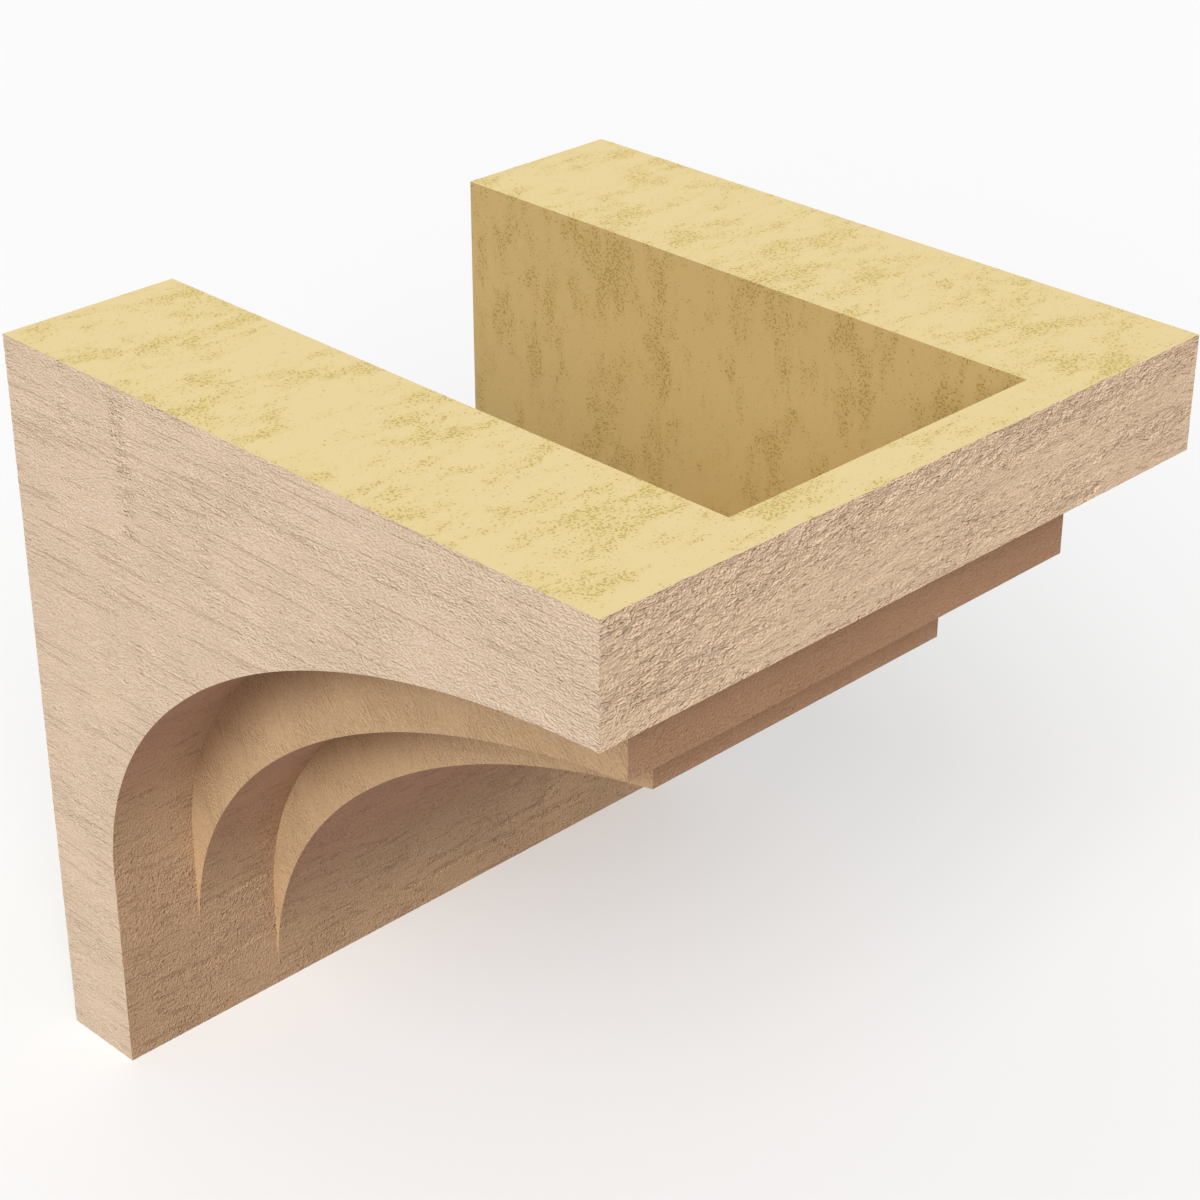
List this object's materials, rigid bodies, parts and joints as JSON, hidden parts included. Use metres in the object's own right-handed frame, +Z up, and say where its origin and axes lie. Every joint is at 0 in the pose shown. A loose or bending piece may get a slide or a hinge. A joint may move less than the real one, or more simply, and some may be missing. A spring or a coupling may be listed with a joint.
{
  "type": "corbel",
  "caption": "Stepped corbel of rigid foam with a rough sawn wood face: nested blocks hollowed below by coves, an upright foot on the wall, and a hollow open at the top and the back.",
  "frame": {"origin": "on the wall face, on the centre line, 50.8 mm above the bottom edge, half way up the solid foot below the hollow", "axes": "+X to the right of someone who faces the corbel's front, +Y into the wall, +Z up"},
  "size_m": [0.3048, 0.3048, 0.3048],
  "materials": {
    "sawn_wood_foam": "rough sawn wood grain in light tan, with bare yellow foam on the top, the back and in the hollow"
  },
  "bodies": {
    "root": {"corbel": "sawn_wood_foam"}
  },
  "joints": []
}
